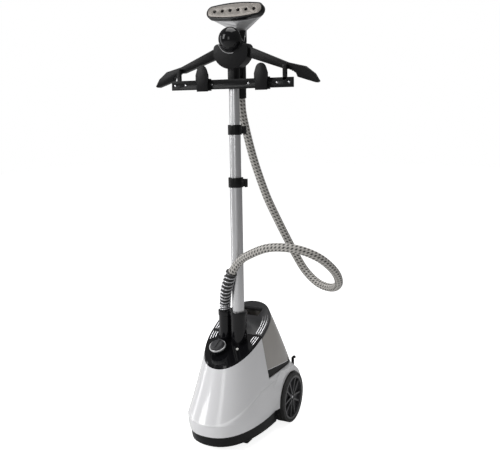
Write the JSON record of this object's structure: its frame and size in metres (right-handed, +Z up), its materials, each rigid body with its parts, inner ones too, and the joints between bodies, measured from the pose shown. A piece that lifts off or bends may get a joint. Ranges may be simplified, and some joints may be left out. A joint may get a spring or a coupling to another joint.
{
  "type": "garment steamer",
  "caption": "Upright garment steamer: wheeled boiler base with lift-out water tank, telescopic pole, clothes hanger with trouser clips, and a steam handset on a long flexible hose.",
  "frame": {"origin": "on the floor, below the centre of the whole object's outline", "axes": "+Z up along the pole, +Y towards the tank and the wheels, +X towards the hose's loop"},
  "size_m": [0.5047, 0.372, 1.1427],
  "materials": {
    "white_gloss": "glossy",
    "black_gloss": "glossy",
    "black_satin": "satin",
    "lid_grey": "satin",
    "knob_grey": "matte",
    "bright_chrome": "polished",
    "smoke_tank": "translucent, glossy",
    "pole_metal": "bright satin",
    "tyre_black": "matte",
    "rim_grey": "satin",
    "plate_metal": "brushed",
    "head_silver": "metallic lacquer",
    "steel": "bright",
    "cast_boiler": "as cast",
    "soft_rubber": "matte",
    "ceramic": "matte",
    "lens": "frosted",
    "hose_braid": "woven"
  },
  "bodies": {
    "base": {"base_tray": "black_satin", "body_shell": "white_gloss", "top_panel": "black_gloss", "pole_socket": "black_gloss", "hose_socket": "black_gloss", "knob_ring": "bright_chrome", "rotary_switch": "knob_grey", "indicator_lens": "lens", "front_feet": "soft_rubber", "axle_rod": "steel", "axle_clips": "steel", "boiler": "cast_boiler", "boiler_lid": "cast_boiler", "boiler_gasket": "soft_rubber", "heating_element": "steel", "thermostat": "ceramic", "steam_pipe": "soft_rubber", "water_pipe": "soft_rubber", "tank_seat": "black_satin", "seat_valve_post": "black_satin", "tray_screws": "steel", "cord_gland": "soft_rubber", "cord_hook": "black_satin", "pole_lower": "pole_metal", "collar_lower": "black_satin", "hose_low": "hose_braid", "spring_guard": "steel"},
    "knob": {"control_knob": "knob_grey"},
    "wheel_left": {"tyre_left": "tyre_black", "rim_left": "rim_grey"},
    "wheel_right": {"tyre_right": "tyre_black", "rim_right": "rim_grey"},
    "tank": {"tank_shell": "smoke_tank", "tank_lid": "lid_grey"},
    "cap": {"tank_cap": "black_satin", "valve_spring": "steel"},
    "valve": {"tank_valve": "soft_rubber"},
    "lower_clamp": {"lever_lower": "black_satin"},
    "middle_tube": {"pole_middle": "pole_metal", "collar_upper": "black_satin", "hose_mid": "hose_braid"},
    "upper_clamp": {"lever_upper": "black_satin"},
    "hanger": {"pole_upper": "pole_metal", "hanger_hub": "black_satin", "arm_left": "black_satin", "arm_right": "black_satin", "trouser_bar": "black_satin", "bar_screws": "steel", "handset_cradle": "black_satin"},
    "lock_knob": {"hub_knob": "black_gloss"},
    "clip_left": {"clip_frame_left": "black_satin"},
    "clip_right": {"clip_frame_right": "black_satin"},
    "paddle_left": {"clip_paddle_left": "black_satin"},
    "paddle_right": {"clip_paddle_right": "black_satin"},
    "handset": {"steam_plate": "plate_metal", "plate_bezel": "black_gloss", "head_shell": "head_silver", "handset_handle": "black_satin", "handset_trim": "bright_chrome", "hose_top": "hose_braid"}
  },
  "joints": [
    {"name": "knob_turn", "type": "hinge", "parent": "base", "child": "knob", "pos_m": [-0.042, -0.0715, 0.25238], "axis": [0, -0.4364, 0.8998], "range_deg": [0, 270]},
    {"name": "wheel_left_spin", "type": "hinge", "parent": "base", "child": "wheel_left", "pos_m": [-0.126, 0.1, 0.07], "axis": [1, 0, 0], "continuous": true},
    {"name": "wheel_right_spin", "type": "hinge", "parent": "base", "child": "wheel_right", "pos_m": [0.086, 0.1, 0.07], "axis": [1, 0, 0], "continuous": true},
    {"name": "tank_lift", "type": "slide", "parent": "base", "child": "tank", "axis": [0, 0, 1], "range_m": [0, 0.12]},
    {"name": "cap_turn", "type": "hinge", "parent": "tank", "child": "cap", "pos_m": [-0.02, 0.052, 0.1606], "axis": [0, 0, 1], "range_deg": [0, 90]},
    {"name": "valve_push", "type": "slide", "parent": "cap", "child": "valve", "axis": [0, 0, 1], "range_m": [0, 0.003], "stiffness_N_per_m": 150, "springref_m": -0.002, "deforming": ["valve_spring"]},
    {"name": "lower_clamp_open", "type": "hinge", "parent": "base", "child": "lower_clamp", "pos_m": [0.0238, -0.03, 0.697], "axis": [0, -1, 0], "range_deg": [0, 90]},
    {"name": "middle_tube_slide", "type": "slide", "parent": "base", "child": "middle_tube", "axis": [0, 0, 1], "range_m": [-0.1, 0.23], "deforming": ["hose_low"]},
    {"name": "upper_clamp_open", "type": "hinge", "parent": "middle_tube", "child": "upper_clamp", "pos_m": [0.0223, -0.03, 0.832], "axis": [0, -1, 0], "range_deg": [0, 90]},
    {"name": "upper_tube_slide", "type": "slide", "parent": "middle_tube", "child": "hanger", "axis": [0, 0, 1], "range_m": [-0.08, 0.19], "deforming": ["hose_mid"]},
    {"name": "lock_knob_turn", "type": "hinge", "parent": "hanger", "child": "lock_knob", "pos_m": [0, -0.047, 1.05], "axis": [0, 1, 0], "range_deg": [0, 90]},
    {"name": "clip_left_slide", "type": "slide", "parent": "hanger", "child": "clip_left", "axis": [1, 0, 0], "range_m": [-0.035, 0.04]},
    {"name": "clip_right_slide", "type": "slide", "parent": "hanger", "child": "clip_right", "axis": [1, 0, 0], "range_m": [-0.055, 0.03]},
    {"name": "paddle_left_press", "type": "hinge", "parent": "clip_left", "child": "paddle_left", "pos_m": [-0.074, -0.0575, 0.953], "axis": [-1, 0, 0], "range_deg": [0, 20], "stiffness_Nm_per_rad": 0.06, "springref_deg": -17.19},
    {"name": "paddle_right_press", "type": "hinge", "parent": "clip_right", "child": "paddle_right", "pos_m": [0.092, -0.0575, 0.953], "axis": [-1, 0, 0], "range_deg": [0, 20], "stiffness_Nm_per_rad": 0.06, "springref_deg": -17.19},
    {"name": "handset_lift", "type": "slide", "parent": "hanger", "child": "handset", "axis": [0, 0, 1], "range_m": [0, 0.06], "deforming": ["hose_top"]}
  ]
}
